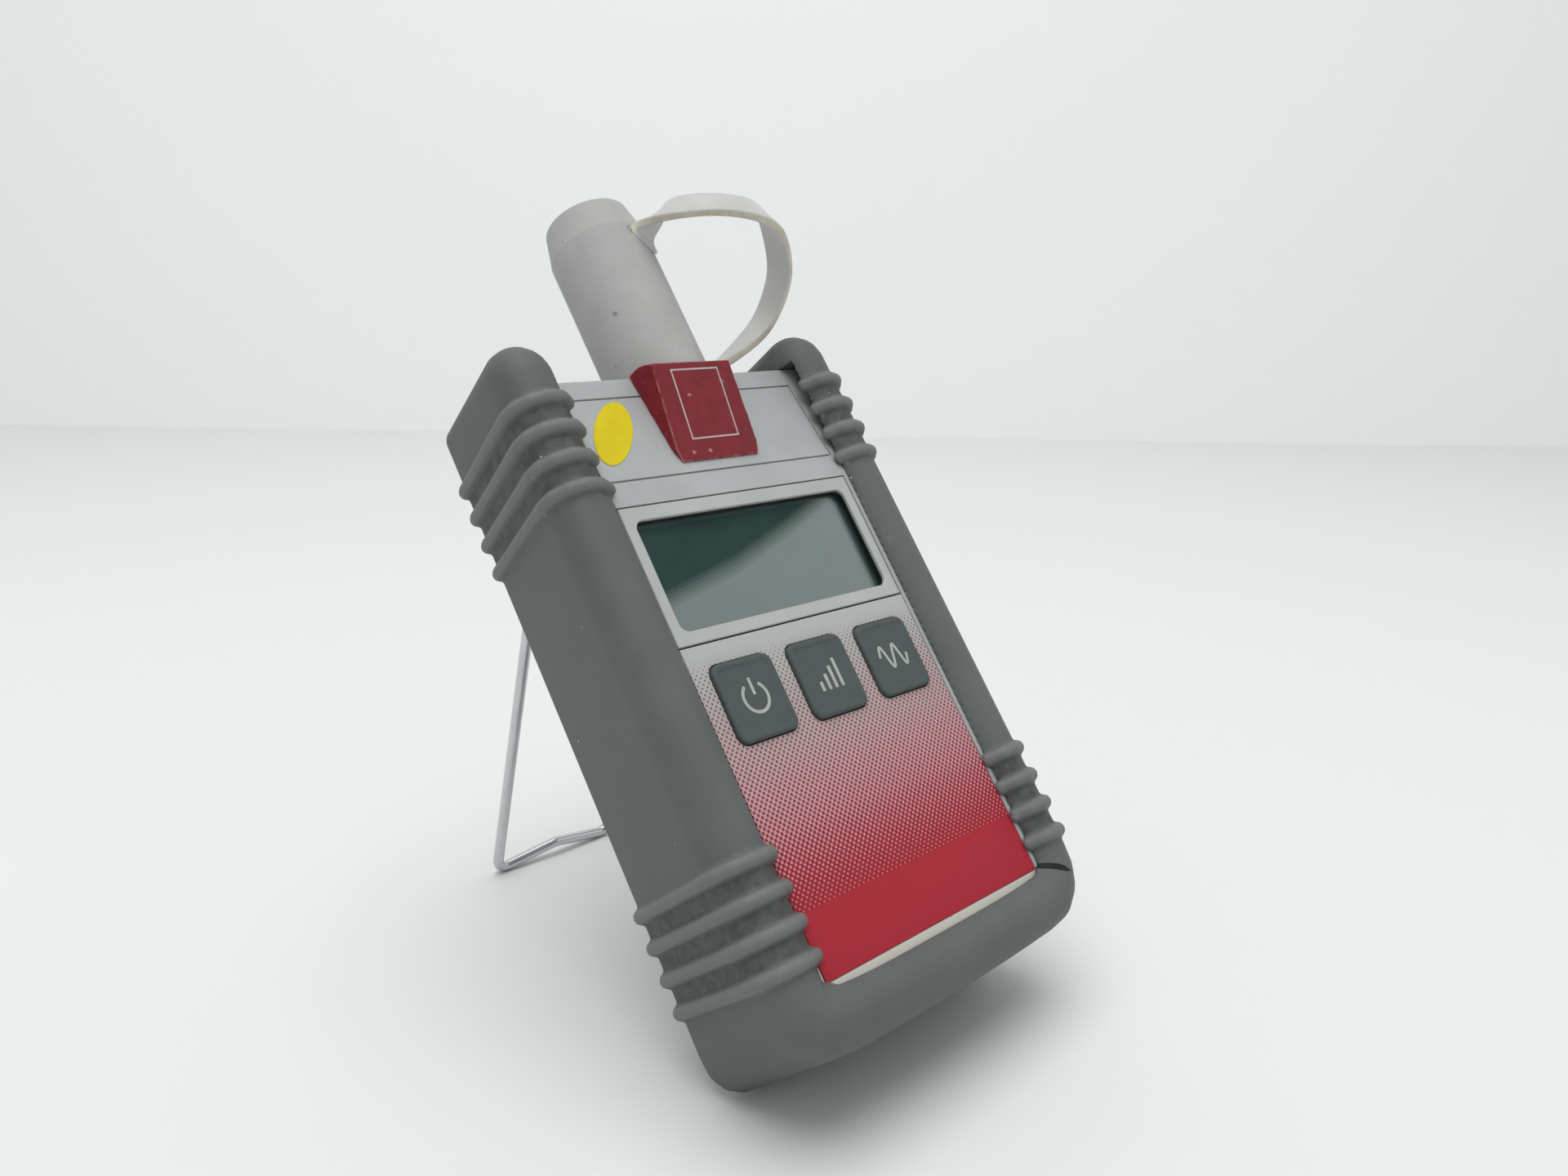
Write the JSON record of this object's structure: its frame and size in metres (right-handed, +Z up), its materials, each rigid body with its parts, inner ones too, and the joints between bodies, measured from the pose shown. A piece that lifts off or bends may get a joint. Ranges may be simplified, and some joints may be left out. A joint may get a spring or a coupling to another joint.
{
  "type": "optical power meter",
  "caption": "Handheld optical power meter in a ribbed rubber boot, with a display, keys, a capped detector port and a folding wire stand.",
  "frame": {"origin": "centre of the bounding box on the surface that the meter stands on, stand open", "axes": "+Z up, +Y towards the stand at the meter's back, +X to the right as the display is read"},
  "size_m": [0.1004, 0.1497, 0.1825],
  "materials": {
    "case_plastic": "satin moulded",
    "bezel_plastic": "satin moulded",
    "clear_window": "clear acrylic",
    "lcd": "grey-green display glass",
    "reflector": "satin film",
    "dark_plastic": "moulded",
    "contact_rubber": "matte",
    "red_label": "printed film",
    "key_rubber": "matte silicone",
    "mat_rubber": "matte silicone",
    "brass_parts": "plated",
    "board": "solder mask",
    "port_metal": "machined",
    "badge_plastic": "satin moulded",
    "yellow_sticker": "printed film",
    "cap_rubber": "satin",
    "boot_rubber": "matte",
    "wire": "bright plated wire",
    "screw_steel": "plated",
    "battery_can": "satin",
    "foam": "open-cell foam"
  },
  "bodies": {
    "meter": {"front_shell": "case_plastic", "rear_shell": "case_plastic", "end_panel": "bezel_plastic", "display_bezel": "bezel_plastic", "display_window": "clear_window", "lcd_panel": "lcd", "lcd_reflector": "reflector", "lcd_holder": "dark_plastic", "elastomer_strips": "contact_rubber", "keypad_overlay": "red_label", "keypad_mat": "mat_rubber", "key_domes": "brass_parts", "main_board": "board", "board_chips": "dark_plastic", "detector_tube": "port_metal", "connector_adapter": "port_metal", "photodiode": "brass_parts", "detector_board": "board", "detector_leads": "brass_parts", "badge": "badge_plastic", "inspection_sticker": "yellow_sticker", "cap_strap": "cap_rubber", "rubber_boot": "boot_rubber", "bail_clips": "dark_plastic", "clip_screws": "screw_steel", "case_screws": "screw_steel", "battery": "battery_can", "battery_contacts": "dark_plastic", "battery_pad": "foam"},
    "stand": {"bail_stand": "wire"},
    "cap": {"dust_cap": "cap_rubber"},
    "power_key": {"key_power": "key_rubber"},
    "units_key": {"key_units": "key_rubber"},
    "wavelength_key": {"key_wavelength": "key_rubber"},
    "door": {"battery_door": "case_plastic"}
  },
  "joints": [
    {"name": "stand_fold", "type": "hinge", "parent": "meter", "child": "stand", "pos_m": [0, 0.04198, 0.11893], "axis": [-1, 0, 0], "range_deg": [0, 51.7]},
    {"name": "cap_pull", "type": "slide", "parent": "meter", "child": "cap", "axis": [0, 0.6018, 0.7986], "range_m": [0, 0.045]},
    {"name": "power_press", "type": "slide", "parent": "meter", "child": "power_key", "axis": [0, 0.7986, -0.6018], "range_m": [0, 0.0008], "stiffness_N_per_m": 2000},
    {"name": "units_press", "type": "slide", "parent": "meter", "child": "units_key", "axis": [0, 0.7986, -0.6018], "range_m": [0, 0.0008], "stiffness_N_per_m": 2000},
    {"name": "wavelength_press", "type": "slide", "parent": "meter", "child": "wavelength_key", "axis": [0, 0.7986, -0.6018], "range_m": [0, 0.0008], "stiffness_N_per_m": 2000},
    {"name": "door_tilt", "type": "hinge", "parent": "meter", "child": "door", "pos_m": [0, -0.02666, 0.02967], "axis": [-1, 0, 0], "range_deg": [0, 75]}
  ]
}
